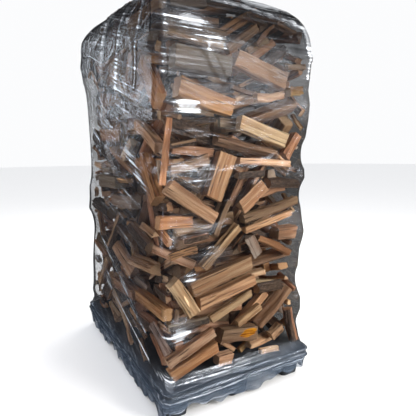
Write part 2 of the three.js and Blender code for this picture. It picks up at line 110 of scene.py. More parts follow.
# How far the film lies behind its bulge at an upright edge of the load, against height.
EDGE_WAVES = {
    "right": [(0.16, 0.010), (0.18, 0.026), (0.22, 0.042), (0.25, 0.038), (0.29, 0.018),
              (0.34, 0.002), (0.40, 0.004), (0.44, 0.020), (0.49, 0.038), (0.52, 0.044),
              (0.56, 0.022), (0.65, 0.018), (0.70, 0.006), (0.74, 0.000), (0.80, 0.012),
              (0.86, 0.022), (0.91, 0.036), (0.95, 0.030), (1.00, 0.008), (1.04, 0.012),
              (1.09, 0.042), (1.13, 0.038), (1.19, 0.014), (1.26, 0.006), (1.34, 0.002),
              (1.40, 0.012), (1.48, 0.006), (1.55, 0.002), (1.58, 0.018), (1.70, 0.010)],
    "left": [(0.16, 0.004), (0.25, 0.002), (0.35, 0.008), (0.45, 0.012), (0.54, 0.020),
             (0.62, 0.030), (0.69, 0.048), (0.73, 0.030), (0.78, 0.008), (0.84, 0.016),
             (0.92, 0.020), (0.97, 0.034), (1.04, 0.054), (1.10, 0.058), (1.15, 0.050),
             (1.20, 0.044), (1.27, 0.056), (1.33, 0.066), (1.38, 0.084), (1.46, 0.088),
             (1.52, 0.074), (1.56, 0.056), (1.61, 0.022), (1.66, 0.028), (1.74, 0.010)],
}

# Where the film is bunched over the front, and where white glints are painted on it: place across
# and up, half width, half height, how much.  Beyond 1 it is painted white, as a painted highlight.
FRONT_BUNCHES_AND_GLINTS = [
    (-0.24, 1.62, 0.085, 0.030, 1.8), (-0.15, 1.55, 0.11, 0.030, 1.35),
    (-0.26, 1.30, 0.055, 0.028, 2.3), (-0.21, 1.01, 0.07, 0.05, 0.9),
    (-0.15, 0.68, 0.08, 0.04, 0.7), (-0.31, 0.375, 0.055, 0.035, 2.0),
    (-0.25, 0.60, 0.03, 0.02, 1.6), (0.20, 1.46, 0.06, 0.04, 0.8), (-0.36, 0.17, 0.02, 0.03, 1.8),
]
# Narrow folds of the film: whether over the front or the left side, the start and the end
# (across or along, and height), half width, how much.  Beyond 1 a fold is painted white, as a
# painted highlight.
FRONT_FOLDS = [
    ((-0.30, 1.74), (0.05, 1.725), 0.013, 1.2), ((0.05, 1.725), (0.29, 1.690), 0.013, 1.5),
    ((0.29, 1.690), (0.350, 1.660), 0.012, 1.7), ((0.350, 1.665), (0.366, 1.560), 0.020, 2.1),
    ((0.366, 1.560), (0.356, 1.450), 0.009, 1.7), ((-0.345, 1.75), (-0.36, 1.38), 0.012, 0.8),
    ((-0.17, 1.52), (-0.10, 1.41), 0.016, 0.9),
]
LEFT_FOLDS = [
    ((-0.47, 1.72), (-0.35, 1.40), 0.014, 1.0), ((-0.20, 1.76), (-0.10, 1.42), 0.020, 0.9),
    ((0.10, 1.78), (0.14, 1.50), 0.025, 0.8), ((0.45, 0.50), (-0.38, 0.20), 0.020, 0.9),
    ((0.30, 0.62), (-0.35, 0.32), 0.014, 0.8), ((-0.20, 1.15), (-0.42, 0.95), 0.030, 0.9),
]

RESIN_LOG = "brown_slab_14"            # amber drops on one log
RESIN_PLACE, RESIN_SIZE = (0.060, -0.545, 0.283), (0.055, 0.05, 0.026)

WOOD_TONES = {
    "pale": (0.71, 0.485, 0.30),
    "tan": (0.61, 0.385, 0.225),
    "orange": (0.57, 0.32, 0.145),
    "red": (0.46, 0.25, 0.145),
    "brown": (0.27, 0.17, 0.10),
    "grey": (0.40, 0.33, 0.27),
}

# Cross-sections of a split log on a unit square, and which of their edges carry bark.
SECTIONS = {
    "slab": ([(-0.5, -0.36), (0.46, -0.5), (0.5, 0.5), (-0.46, 0.42)], ()),
    "quarter": ([(-0.36, -0.3), (0.04, -0.5), (0.4, -0.24), (0.5, 0.5), (-0.5, 0.44)], (0, 1)),
    "wedge": ([(0.08, -0.5), (0.5, 0.5), (-0.5, 0.44)], (1,)),
    "ridge": ([(-0.5, -0.5), (0.5, -0.42), (0.16, 0.5), (-0.12, 0.45)], (0,)),
    "round": ([(-0.5, -0.34), (0.5, -0.4), (0.5, 0.06), (0.28, 0.4), (-0.06, 0.5),
               (-0.4, 0.3)], (2, 3, 4, 5)),
    "billet": ([(-0.44, -0.5), (0.5, -0.42), (0.46, 0.5), (-0.5, 0.4)], (0,)),
}
SECTION_ODDS = [0.30, 0.20, 0.14, 0.16, 0.08, 0.12]
TONE_ODDS = [0.14, 0.34, 0.16, 0.10, 0.18, 0.08]


# ------------------------------------------------------------------ meshes from arrays

def grid_faces(rows, columns):
    """Quads of a rows by columns grid whose last column joins the first."""
    row = np.arange(rows - 1)[:, None]
    column = np.arange(columns)[None, :]
    here = row * columns + column
    beside = row * columns + (column + 1) % columns
    return np.stack([here, beside, beside + columns, here + columns], -1).reshape(-1, 4)


def mesh_object(name, points, quads, triangles=()):
    """One smooth object from vertex and face arrays, standing at the origin."""
    quads = np.asarray(quads, np.int32).reshape(-1, 4)
    triangles = np.asarray(triangles, np.int32).reshape(-1, 3)
    corners = np.concatenate([quads.ravel(), triangles.ravel()])
    sizes = np.concatenate([np.full(len(quads), 4), np.full(len(triangles), 3)])
    mesh = bpy.data.meshes.new(name)
    mesh.vertices.add(len(points))
    mesh.vertices.foreach_set("co", np.ascontiguousarray(points, np.float32).ravel())
    mesh.loops.add(len(corners))
    mesh.loops.foreach_set("vertex_index", corners)
    mesh.polygons.add(len(sizes))
    mesh.polygons.foreach_set("loop_start", np.concatenate([[0], np.cumsum(sizes)[:-1]]))
    mesh.update(calc_edges=True)
    mesh.polygons.foreach_set("use_smooth", np.ones(len(sizes), bool))
    piece = bpy.data.objects.new(name, mesh)
    bpy.context.scene.collection.objects.link(piece)
    return piece


def point_values(piece, name, kind, values):
    """Stores one value per vertex: kind is FLOAT, FLOAT_VECTOR or FLOAT_COLOR."""
    field = {"FLOAT": "value", "FLOAT_VECTOR": "vector", "FLOAT_COLOR": "color"}[kind]
    layer = piece.data.attributes.new(name, kind, "POINT")
    layer.data.foreach_set(field, np.ascontiguousarray(values, np.float32).ravel())


def mesh_array(items, field, width):
    """One field of a mesh's vertices or polygons as an array."""
    values = np.empty(len(items) * width, np.float32)
    items.foreach_get(field, values)
    return values.reshape(-1, width).astype(float)


# ------------------------------------------------------------------ outline of the load

def eased(value, low, high):
    """From 0 at low to 1 at high, level at both ends."""
    part = np.clip((value - low) / (high - low), 0, 1)
    return part * part * (3 - 2 * part)


def half_width(height):
    """Half width of the load at a height, by the outline."""
    return np.interp(height, OUTLINE[:, 1], OUTLINE[:, 0])


def shoulder_sag(x, y, height, sharpness=0.5):
    """How far the film sags above a plan point: most at the corners of the shoulders, fading
    out to the crown, and more towards the right and the front, where the top leans to."""
    half = np.maximum(half_width(height), 0.05)
    near = np.minimum(1.0, np.abs(x * y) / (half * half * PLAN_RATIO))
    lean = LEAN_SIDE * x / HALF_WIDTH - LEAN_FRONT * y / (HALF_WIDTH * PLAN_RATIO)
    corner = CORNER_SAG * near ** sharpness * eased(half_width(height), 0, 0.34)
    return (corner + lean) * eased(height, SAG_FROM, SAG_FROM + SAG_OVER)


def edge_share(points):
    """How near points are to an upright edge of the load: 1 on it, 0 well away."""
    turn = np.arctan2(points[..., 1] / PLAN_RATIO, points[..., 0])
    return np.abs(np.sin(2 * turn)) ** 8


def edge_wave(points, height):
    """How far the film lies behind its bulge where an upright edge of the load is near."""
    waves = [np.interp(height, *np.transpose(EDGE_WAVES[side])) for side in ("right", "left")]
    behind = eased(points[..., 1], -0.1, 0.1)
    return waves[0] * (1 - behind) + waves[1] * behind


def beyond_film(points):
    """Signed distance from points to the film: negative inside the load."""
    x, y, z = points[..., 0], points[..., 1], points[..., 2]
    half = half_width(z + shoulder_sag(x, y, z + CORNER_SAG))
    radius = FILM_CORNER * half / HALF_WIDTH
    over_x = np.abs(x) - (half - radius)
    over_y = np.abs(y) - (half * PLAN_RATIO - radius)
    away = np.hypot(np.maximum(over_x, 0), np.maximum(over_y, 0))
    return away + np.minimum(np.maximum(over_x, over_y), 0) - radius


# ------------------------------------------------------------------ split logs

class Log:
    """A split log as its two end polygons, corner to corner, and the box that holds it."""

    def __init__(self, start, end, tone, bark, random):
        self.start, self.end = np.asarray(start, float), np.asarray(end, float)
        self.tone, self.bark, self.random = tone, bark, random
        axis = self.end.mean(0) - self.start.mean(0)
        self.axis = axis / np.linalg.norm(axis)
        self.middle = (self.start + self.end) / 2
        self.centre = self.middle.mean(0)
        spread = self.middle - self.centre
        spread = spread - np.outer(spread @ self.axis, self.axis)
        across = np.linalg.svd(spread, full_matrices=False)[2][0]
        self.axes = np.stack([self.axis, across, np.cross(self.axis, across)])
        corners = np.vstack([self.start, self.end]) @ self.axes.T
        low, high = corners.min(0), corners.max(0)
        self.box_centre = (low + high) / 2 @ self.axes
        self.half = (high - low) / 2

    def side_normals(self):
        """Outward unit normal of each side, from one corner to the next."""
        ahead = np.roll(self.middle, -1, 0)
        normals = np.cross(ahead - self.middle, self.axis)
        normals /= np.linalg.norm(normals, axis=1, keepdims=True)
        outward = np.sum(normals * ((self.middle + ahead) / 2 - self.centre), axis=1)
        return normals * np.sign(outward)[:, None]

    def planes(self):
        """Outward normals and offsets of the log's sides and ends."""
        normals = self.side_normals()
        offsets = np.sum(normals * self.middle, axis=1)
        ends = np.stack([self.axis, -self.axis])
        reach = [(self.end @ self.axis).max(), -(self.start @ self.axis).min()]
        return np.vstack([normals, ends]), np.concatenate([offsets, reach])

    def moved(self, shift):
        """The same log, shifted."""
        return Log(self.start + shift, self.end + shift, self.tone, self.bark, self.random)


def log_from_node(name, random):
    """A log read back from its CAD node.  The sides' area-weighted normals leave the log's own
    axis out, so their spread is least along it; corners are then sorted round that axis."""
    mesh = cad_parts[name].data
    points = np.unique(np.round(mesh_array(mesh.vertices, "co", 3), 6), axis=0)
    normals = mesh_array(mesh.polygons, "normal", 3)
    areas = mesh_array(mesh.polygons, "area", 1)
    axis = np.linalg.eigh((normals * areas).T @ normals)[1][:, 0]
    along = (points - points.mean(0)) @ axis
    start, end = points[along < 0], points[along > 0]
    first = start[0] - start.mean(0)
    first = first - (first @ axis) * axis
    first /= np.linalg.norm(first)
    second = np.cross(axis, first)

    def sorted_round(corners):
        flat = corners - corners.mean(0)
        return corners[np.argsort(np.arctan2(flat @ second, flat @ first))]

    start, end = sorted_round(start), sorted_round(end)
    gaps = [
        np.linalg.norm(np.roll(end - end.mean(0), k, 0) - (start - start.mean(0)), axis=1).sum()
        for k in range(len(end))
    ]
    end = np.roll(end, int(np.argmin(gaps)), 0)
    tone, cut = name.split("_")[:2]
    lengths = np.linalg.norm(np.roll(start, -1, 0) - start, axis=1)
    bark = ()
    if cut == "round":
        bark = tuple(np.argsort(lengths)[:4])
    elif cut in ("ridge", "quarter") and tone in ("brown", "grey"):
        bark = (int(np.argmax(lengths)),)
    return Log(start, end, tone, bark, random)


def log_surface(log, shares, stations, rings, relief):
    """The skin of a split log.  A point at fraction u along and v round is the straight blend
    of the two end polygons.  It moves along its side's normal by long fibre ridges, a sum of
    sines across the grain whose phase drifts along it, by a few splinter steps and by rough
    bark; the corners are blunted and the whole log bows a little.  Rings that shrink to a
    middle point close the ends."""
    random = log.random
    corners, columns = len(log.start), len(log.start) * len(shares)
    edge = np.repeat(np.arange(corners), len(shares))
    part = np.tile(shares, corners)
    after, before = (edge + 1) % corners, (edge - 1) % corners
    start = log.start[edge] * (1 - part)[:, None] + log.start[after] * part[:, None]
    end = log.end[edge] * (1 - part)[:, None] + log.end[after] * part[:, None]
    ring = (start + end) / 2
    around = np.cumsum(np.linalg.norm(ring - np.roll(ring, 1, 0), axis=1))

    sides = log.side_normals()
    edge_bend = 0.5 * np.clip(1 - np.minimum(part, 1 - part) / 0.12, 0, 1)
    beside = np.where(part < 0.5, before, after)
    normal = sides[edge] * (1 - edge_bend)[:, None] + sides[beside] * edge_bend[:, None]
    normal /= np.linalg.norm(normal, axis=1, keepdims=True)

    u = stations[:, None]
    height = np.tile(-2.6 * relief * edge_bend, (len(stations), 1))
    for _ in range(9):
        length = random.uniform(0.005, 0.032)
        drift = random.uniform(-2, 2) * u + np.sin(TAU * (u * random.uniform(0.4, 2)))
        size = relief * (0.2 + length / 0.030) * random.uniform(0.4, 1.0)
        height += size * np.sin(TAU * around / length + drift + random.uniform(0, TAU))
    for _ in range(3):
        place, width = random.random() * around[-1], random.uniform(0.008, 0.028)
        step = np.clip(1 - np.abs(around - place - 0.006 * np.sin(u * 5)) / width, 0, 1)
        reach = np.clip((u - random.uniform(-0.5, 0.8)) * random.choice([-9, 9]), 0, 1)
        height -= relief * 2.4 * step * reach
    bark = np.isin(edge, log.bark).astype(float)
    height += bark * relief * (0.5 + 1.1 * np.sin(around / 0.0032 + 3 * np.sin(u * 23)))

    bow = log.axes[1] * random.normal(0, 2.4) + log.axes[2] * random.normal(0, 1.6)
    skin = start * (1 - u[..., None]) + end * u[..., None] + normal * height[..., None]
    skin = skin + (relief * np.sin(np.pi * u))[..., None] * bow

    caps = []
    for rim in (skin[0], skin[-1]):
        heart = rim.mean(0)
        chips = random.normal(0, relief * 0.5, (len(rings), columns))
        chips[0] = 0
        faces = [heart + (rim - heart) * size + log.axis * chip[:, None]
                 for size, chip in zip(rings, chips)]
        caps.append((faces, heart[None]))
    points = np.vstack([*caps[0][0][::-1], skin.reshape(-1, 3), *caps[1][0],
                        caps[0][1], caps[1][1]])
    rows = 2 * len(rings) + len(stations)
    quads = grid_faces(rows, columns)
    here, there = np.arange(columns), (np.arange(columns) + 1) % columns
    last = (rows - 1) * columns
    fans = np.vstack([
        np.stack([there, here, np.full(columns, rows * columns)], -1),
        np.stack([last + here, last + there, np.full(columns, rows * columns + 1)], -1),
    ])
    if np.cross(ring, np.roll(ring, -1, 0)).sum(0) @ log.axis < 0:
        quads, fans = quads[:, ::-1], fans[:, ::-1]

    pith = random.normal(0, 1, 2)
    pith *= random.uniform(0.5, 1.5) * log.half[1:] / np.linalg.norm(pith)
    grain = (points - log.centre) @ log.axes.T - [random.uniform(-3, 3), *pith]
    body = slice(len(rings) * columns, (len(rings) + len(stations)) * columns)
    sawn, barked = np.ones(len(points)), np.zeros(len(points))
    sawn[body] = 0
    barked[body] = np.tile(bark, len(stations))
    shade = np.array(WOOD_TONES[log.tone]) * random.normal(1.0, 0.13) * random.normal(1, 0.03, 3)
    tone = np.tile([*np.clip(shade, 0.02, 0.9), 1.0], (len(points), 1))
    return {"points": points, "quads": quads, "fans": fans, "grain": grain, "sawn": sawn,
            "bark": barked, "tone": tone}


def log_piece(name, logs, shares, stations, rings, relief):
    """One mesh of one or more logs, with the values that the wood finish reads."""
    parts = [log_surface(log, shares, stations, rings, relief) for log in logs]
    offsets = np.cumsum([0] + [len(part["points"]) for part in parts[:-1]])

    def joined(key, shift=False):
        return np.concatenate([part[key] + offset * shift
                               for part, offset in zip(parts, offsets)])

    piece = mesh_object(name, joined("points"), joined("quads", True), joined("fans", True))
    point_values(piece, "grain", "FLOAT_VECTOR", joined("grain"))
    point_values(piece, "sawn", "FLOAT", joined("sawn"))
    point_values(piece, "bark", "FLOAT", joined("bark"))
    point_values(piece, "tone", "FLOAT_COLOR", joined("tone"))
    return piece


# ------------------------------------------------------------------ filling the load with logs

def side_axes(facing):
    """Outward and rightward directions of a side of the load."""
    turn = np.radians(facing)
    out = np.array([-np.sin(turn), -np.cos(turn), 0.0])
    right = np.array([np.cos(turn), -np.sin(turn), 0.0])
    return out, right


def loose_log(random, out, right, up, place, size, steep=False):
    """A log of random section lying against a surface: tilted in it or standing steeply,
    swung a little inwards at one end, and rolled about itself."""
    cut = list(SECTIONS)[random.choice(len(SECTION_ODDS), p=SECTION_ODDS)]
    tone = list(WOOD_TONES)[random.choice(len(TONE_ODDS), p=TONE_ODDS)]
    outline, bark = SECTIONS[cut]
    length = np.clip(random.normal(0.295, 0.028), 0.20, 0.335) * size
    width = random.uniform(0.055, 0.100) * size
    depth = width * random.uniform(0.62, 0.95)
    tilt = random.normal(0, 13)
    if random.random() < 0.4:
        tilt = random.choice([-1, 1]) * random.uniform(22, 62)
    if steep:
        tilt = random.choice([-1, 1]) * random.uniform(48, 82)
    tilt, swing, roll = np.radians([tilt, random.normal(0, 9), random.choice([0, 90, 180, 270])])
    along = right * np.cos(tilt) + up * np.sin(tilt)
    across = up * np.cos(tilt) - right * np.sin(tilt)
    axis = along * np.cos(swing) - out * np.sin(swing)
    normal = np.cross(axis, across)
    turned = np.stack([across * np.cos(roll) + normal * np.sin(roll),
                       normal * np.cos(roll) - across * np.sin(roll)])
    flat = np.array(outline) * [width, depth]
    ends = []
    for side in (-0.5, 0.5):
        askew = random.normal(0, 0.06) * flat[:, :1]
        ends.append(place + axis * (side * length + askew)
                    + flat @ turned * random.uniform(0.86, 1.0))
    return Log(ends[0], ends[1], tone, bark, random)


def edge_log(random, facing, height, size, lying):
    """A log at an upright edge of the load: standing in it, or lying along one of the two sides
    that meet there, with one end at the edge."""
    out, right = side_axes(facing)
    up = np.array([0, 0, 1.0])
    corner = np.sign(out) * [HALF_WIDTH, HALF_WIDTH * PLAN_RATIO, 0] + up * height
    if not lying:
        return loose_log(random, out, right, up, corner, size, steep=True)
    face, way = side_axes(facing + random.choice([-45, 45]))
    inwards = -way * np.sign(way @ out)
    return loose_log(random, face, way, up, corner + inwards * (0.01 + 0.14 * size), size)


class Pile:
    """The boxes of the logs laid so far, and the test whether one more finds room."""

    def __init__(self):
        self.logs = []
        self.centres = np.zeros((0, 3))
        self.axes = np.zeros((0, 3, 3))
        self.halves = np.zeros((0, 3))

    def hold(self, log, shift=0.0, share=1.0):
        """Keeps the log's box clear, shifted if need be."""
        self.centres = np.vstack([self.centres, log.box_centre + shift])
        self.axes = np.concatenate([self.axes, log.axes[None]])
        self.halves = np.vstack([self.halves, log.half * share])

    def add(self, log, share=LOG_CRUSH):
        self.logs.append(log)
        self.hold(log, share=share)

    def first_room(self, log, inward, depths):
        """The first of the depths, moving inwards, at which the log is inside the film, above
        the deck and apart from every other log by the separating-axis test; None if none is."""
        signs = np.array(np.meshgrid([-1, 1], [-1, 1], [-1, 1])).reshape(3, -1).T
        corners = log.box_centre + (signs * log.half) @ log.axes
        moved = corners[None] + inward * depths[:, None, None]
        dent = np.maximum(edge_wave(moved, moved[..., 2]) - EDGE_BULGE - FILM_BULGE, 0)
        inside = (beyond_film(moved) < LOG_OVERHANG - dent * edge_share(moved)).all(1)
        inside &= moved[..., 2].min(1) > DECK_TOP + 0.001
        if not inside.any():
            return None
        reach = np.linalg.norm(log.half) + np.linalg.norm(self.halves, axis=1) + depths[-1]
        close = np.linalg.norm(self.centres - log.box_centre, axis=1) < reach
        centres, axes, halves = self.centres[close], self.axes[close], self.halves[close]
        own = np.broadcast_to(log.axes, axes.shape)
        crossed = np.cross(own[:, :, None, :], axes[:, None, :, :]).reshape(-1, 9, 3)
        size = np.linalg.norm(crossed, axis=2, keepdims=True)
        crossed = np.where(size > 1e-4, crossed / np.maximum(size, 1e-4), own[:, :1])
        tests = np.concatenate([own, axes, crossed], axis=1)
        spread = np.abs(tests @ log.axes.T) @ (log.half * LOG_CRUSH)
        spread += np.einsum("mta,ma->mt", np.abs(np.einsum("mtk,mak->mta", tests, axes)), halves)
        apart = np.einsum("mtk,mk->mt", tests, log.box_centre - centres)
        gaps = np.abs(apart + (tests @ inward) * depths[:, None, None]) - spread
        room = np.flatnonzero(inside & (gaps.max(2) > LOG_GAP).all(1))
        return depths[room[0]] if len(room) else None

    def push_in(self, log, inward, limit):
        """Adds the log, moved inwards to the first room that it finds within the limit."""
        depth = self.first_room(log, inward, np.arange(0, limit, PUSH_STEP))
        if depth is None:
            return []
        log = log.moved(inward * depth)
        self.add(log)
        return [log]


def fill_side(pile, facing, tries, limit, seed, size):
    """Loose logs pushed in against one side, or across one upright edge of the load, their
    heights spread by the golden ratio."""
    out, right = side_axes(facing)
    reach = np.array([HALF_WIDTH, HALF_WIDTH * PLAN_RATIO, 0])
    deep, wide = np.abs(out) @ reach, np.abs(right) @ reach - 0.08
    laid = []
    for number in range(tries):
        random = np.random.default_rng([*seed, number])
        height = FILL_LOW + (FILL_HIGH - FILL_LOW) * ((number * 0.6180339) % 1.0)
        if facing % 90:
            log = edge_log(random, facing, height, size, lying=number % 4 > 0)
        else:
            along = wide * np.sin(random.uniform(-np.pi / 2, np.pi / 2))
            place = right * along + out * deep + [0, 0, height]
            log = loose_log(random, out, right, np.array([0, 0, 1.0]), place, size)
        laid += pile.push_in(log, -out, limit)
    return laid


def stacked_core():
    """Deep logs in the middle of the heap, in courses laid along and across it in turn.  All are
    of the darkest tone: real logs, and painted shade where they show in the gaps between the outer
    logs.
    """
    logs = []
    for course in range(CORE_COURSES):
        random = np.random.default_rng([61, course])
        long, wide = (1, 0) if course % 2 else (0, 1)
        reach = np.array(CORE_REACH) * (1.0 if course < CORE_COURSES - 2 else 0.7)
        step = 2 * reach[long] / (3 if long else 2)
        ways = np.eye(3)[[wide, 2]]
        for line in np.arange(-reach[wide], reach[wide] - 0.05, CORE_LINE):
            for start in np.arange(-reach[long], reach[long] - 0.01, step):
                middle = np.zeros(3)
                middle[long], middle[wide] = start + step / 2, line + CORE_LINE / 2
                middle[2] = DECK_TOP + 0.05 + CORE_PITCH * course
                outline, bark = SECTIONS[list(SECTIONS)[random.integers(len(SECTIONS))]]
                flat = middle + CORE_LOG * np.array(outline) @ ways
                along = np.eye(3)[long] * step * 0.49
                logs.append(Log(flat - along, flat + along, "brown", bark, random))
    return logs


def fill_top(pile, tries, limit, seed, size):
    """Loose logs dropped onto the domed top, lying along its slope."""
    laid = []
    for number in range(tries):
        random = np.random.default_rng([seed, number])
        x, y, turn = random.uniform([-0.30, -0.48, 0], [0.30, 0.48, np.pi])
        right = np.array([np.cos(turn), np.sin(turn), 0.0])
        right[2] = -0.5 * x * right[0] - 0.22 * y * right[1]
        right /= np.linalg.norm(right)
        side = np.cross([0, 0, 1.0], right)
        side /= np.linalg.norm(side)
        place = np.array([x, y, FRAME_BOX[1].z])
        log = loose_log(random, np.cross(right, side), right, side, place, size)
        laid += pile.push_in(log, np.array([0, 0, -1.0]), limit)
    return laid


# ------------------------------------------------------------------ film drawn over the logs

def load_profile():
    """Rows of the film: half width, height, and the outward normal across and up.  The loose
    hem hangs straight, the rim is even, and above it the outline's corners are rounded."""
    run = np.concatenate([[0], np.cumsum(np.hypot(*np.diff(OUTLINE, axis=0).T))])
    fine = np.linspace(0, run[-1], 1300)
    raw = np.stack([np.interp(fine, run, OUTLINE[:, k]) for k in (0, 1)])
    kernel = np.hanning(25) / np.hanning(25).sum()
    mirrored = np.pad(raw, ((0, 0), (12, 12)), "reflect", reflect_type="odd")
    smooth = np.stack([np.convolve(line, kernel, "valid") for line in mirrored])
    smooth = np.where(raw[1] < 0.152, raw, smooth)
    slope = np.gradient(smooth, axis=1)
    slope /= np.hypot(*slope)
    table = np.vstack([smooth, slope[1], -slope[0]])
    gap = np.where(fine < 0.10, 0.0042, FILM_STEP)
    at = np.interp(np.arange(0, np.cumsum((fine[1] - fine[0]) / gap)[-1]),
                   np.cumsum((fine[1] - fine[0]) / gap), fine)
    rows = np.stack([np.interp(at, fine, line) for line in table], -1)
    rows[rows[:, 1] < 0.150, 2:] = (1.0, 0.0)
    hem = np.linspace(RIM_LOW - HEM_DROP, RIM_LOW - 0.004, HEM_ROWS)
    hanging = np.stack([np.full(HEM_ROWS, HALF_WIDTH), hem, np.ones(HEM_ROWS),
                        np.zeros(HEM_ROWS)], -1)
    return np.vstack([hanging, rows])


def plan_points(half, half_y, radius):
    """A rounded rectangle of FILM_COLUMNS points with their outward normals.  The same column
    has the same normal in every row; a fixed share of the columns fans round each corner."""
    arc = 0.16
    runs = np.array([2 * (HALF_WIDTH * PLAN_RATIO - 0.1), arc, 2 * (HALF_WIDTH - 0.1), arc] * 2)
    edges = np.concatenate([[0], np.cumsum(runs)])
    place = (np.arange(FILM_COLUMNS) + 0.5) / FILM_COLUMNS * edges[-1]
    run = np.searchsorted(edges, place, side="right") - 1
    part = (place - edges[run]) / runs[run]
    quarter, on_arc = run // 2, run % 2 == 1
    angle = (quarter + on_arc * part) * np.pi / 2
    blend = np.where(on_arc, 1.0, part)
    flat_x, flat_y = half - radius, half_y - radius
    x = flat_x * (np.array([1, 1, -1, -1])[quarter] * (1 - blend)
                  + np.array([1, -1, -1, 1])[quarter] * blend)
    y = flat_y * (np.array([-1, 1, 1, -1])[quarter] * (1 - blend)
                  + np.array([1, 1, -1, -1])[quarter] * blend)
    normal = np.stack([np.cos(angle), np.sin(angle)], -1)
    return np.stack([x, y], -1) + radius * normal, normal, place


def film_rays(profile):
    """Where each film point may lie: its outermost place on the outline, and the way inwards."""
    outer, ways = [], []
    for half, height, out, rise in profile:
        radius = FILM_CORNER * half / HALF_WIDTH
        plan, normal, place = plan_points(half, half * PLAN_RATIO, radius)
        sag = shoulder_sag(plan[:, 0], plan[:, 1], height, 2.0)
        outer.append(np.column_stack([plan, height - sag]))
        ways.append(np.column_stack([normal * out, np.full(FILM_COLUMNS, rise)]))
    outer, ways = np.array(outer), np.array(ways)
    bulge = (FILM_BULGE + EDGE_BULGE * edge_share(outer)) * eased(profile[:, 1:2], 0.19, 0.26)
    return outer + ways * bulge[..., None], ways, place


def log_depth(outer, ways, logs):
    """How far inwards each film point may be drawn before it meets a log: the ray from
    FILM_REACH behind the outline leaves each log's planes somewhere, and the film stays
    outside the last of those places."""
    starts = (outer - ways * FILM_REACH).reshape(-1, 3)
    rays = ways.reshape(-1, 3)
    leave_at = np.zeros(len(rays))
    middle = starts + rays * (FILM_REACH / 2)
    for log in logs:
        size = np.linalg.norm(log.half) + FILM_REACH / 2
        near = np.flatnonzero((np.abs(middle - log.box_centre) < size).all(1))
        normals, offsets = log.planes()
        speed = rays[near] @ normals.T
        room = offsets - starts[near] @ normals.T
        hit = room / np.where(np.abs(speed) < 1e-9, 1e-9, speed)
        leave = np.where(speed > 1e-9, hit, np.inf).min(1)
        enter = np.where(speed < -1e-9, hit, -np.inf).max(1)
        crossed = (leave > np.maximum(enter, 0)) & ~((np.abs(speed) < 1e-9) & (room < 0)).any(1)
        best = near[crossed]
        leave_at[best] = np.maximum(leave_at[best], leave[crossed])
    return FILM_REACH - leave_at.reshape(outer.shape[:2])


def draw_tight(outer, ways, deepest, rounds, upward):
    """The film as a taut skin: each point moves along its way to the mean of its neighbours,
    pulled harder along the film than up it, but never deeper than it may go.  The coarse shape
    is found first, on every fourth and then every second row and column."""
    rows, columns = deepest.shape
    depth = np.zeros_like(deepest)
    for stride in (4, 2, 1):
        r, c = np.arange(0, rows, stride), np.arange(0, columns, stride)
        base, way, limit = outer[np.ix_(r, c)], ways[np.ix_(r, c)], deepest[np.ix_(r, c)]
        now = depth[np.ix_(r, c)]
        for _ in range(rounds):
            place = base - way * now[..., None]
            beside = np.roll(place, 1, 1) + np.roll(place, -1, 1)
            level = np.concatenate([place[1:], place[-1:]]) + np.concatenate([place[:1],
                                                                              place[:-1]])
            mean = (beside + level * upward) / (2 + 2 * upward)
            now = np.clip(((base - mean) * way).sum(2), 0, limit)
        along = np.arange(columns) / stride
        wrapped = np.concatenate([now, now[:, :1]], axis=1)
        c0 = np.minimum(along.astype(int), len(c) - 1)
        share = along - c0
        wide = wrapped[:, c0] * (1 - share) + wrapped[:, c0 + 1] * share
        up = np.minimum(np.arange(rows) / stride, len(r) - 1)
        r0 = np.minimum(up.astype(int), len(r) - 2)
        share = (up - r0)[:, None]
        depth = wide[r0] * (1 - share) + wide[r0 + 1] * share
    return np.clip(depth, 0, deepest)


def wavy(place, seed, lengths, size):
    """A smooth irregular wave round the load: sines with whole numbers of turns."""
    random = np.random.default_rng(seed)
    perimeter = place[-1] + place[0]
    total = np.zeros_like(place)
    for length in lengths:
        turns = max(1, round(perimeter / length * random.uniform(0.9, 1.1)))
        total += np.sin(TAU * turns * place / perimeter + random.uniform(0, TAU))
    return total * size / len(lengths) ** 0.5


def film_room(outer, ways, height, logs):
    """How far in each film point may go: to the logs, and no further than the depth of the
    dents, which gives way to the waves of the upright edges near them."""
    room = log_depth(outer, ways, logs) - FILM_LIFT
    room[height < DECK_TOP + 0.004] = LEAST_DEPTH
    dents = (FILM_BULGE + FILM_DENTS * (1 - 0.5 * eased(height, 1.45, 1.60)))[:, None]
    waves = edge_wave(outer, height[:, None])
    share = edge_share(outer)
    return np.clip(room, LEAST_DEPTH, dents * (1 - share) + waves * share + 0.001)


def sheet_pleats(outer, half, place):
    """How far the cover sheet's pleats stand out: waves round the load that fade in down the
    shoulders and are deepest at the upright edges."""
    corner = np.abs(np.sin(2 * np.arctan2(outer[..., 1] / PLAN_RATIO, outer[..., 0])))
    pleat = 0.5 + 0.5 * wavy(place, 11, (0.021, 0.034, 0.047, 0.075), 1.0)
    fall = np.clip((half[:, None] - 0.10) / 0.22, 0, 1) * (0.35 + 0.65 * corner ** 4)
    return 0.009 * np.clip(pleat, 0, 1.6) * fall


def hang_hem(outer, ways, depth, height, place):
    """The wound film's places, its hem hanging loose: rippled in and out more and more the
    lower it hangs, and ragged, as its drop is stretched by a wave, and more on the left."""
    hem = np.flatnonzero(height < RIM_LOW)
    hang = (RIM_LOW - height[hem]) / HEM_DROP
    ragged = np.clip(1 + wavy(place, 5, (0.9, 0.42, 0.17, 0.08), 0.26), 0.35, 1.30)
    ripple = wavy(place, 6, (0.25, 0.11, 0.062), 0.008)
    depth[hem] = (0.004 + 0.5 * ripple + 0.010) * hang[:, None] ** 0.7 + 0.001
    wrap = outer - ways * depth[..., None]
    longer = 1 + 0.42 * eased(-outer[hem, :, 0], 0.30, 0.39) * (outer[hem, :, 1] > -0.58)
    drop = (RIM_LOW - wrap[hem, :, 2]) * ragged * longer
    wrap[hem, :, 2] = np.maximum(RIM_LOW - drop, 0.003 + 0.02 * (1 - hang[:, None]))
    return wrap


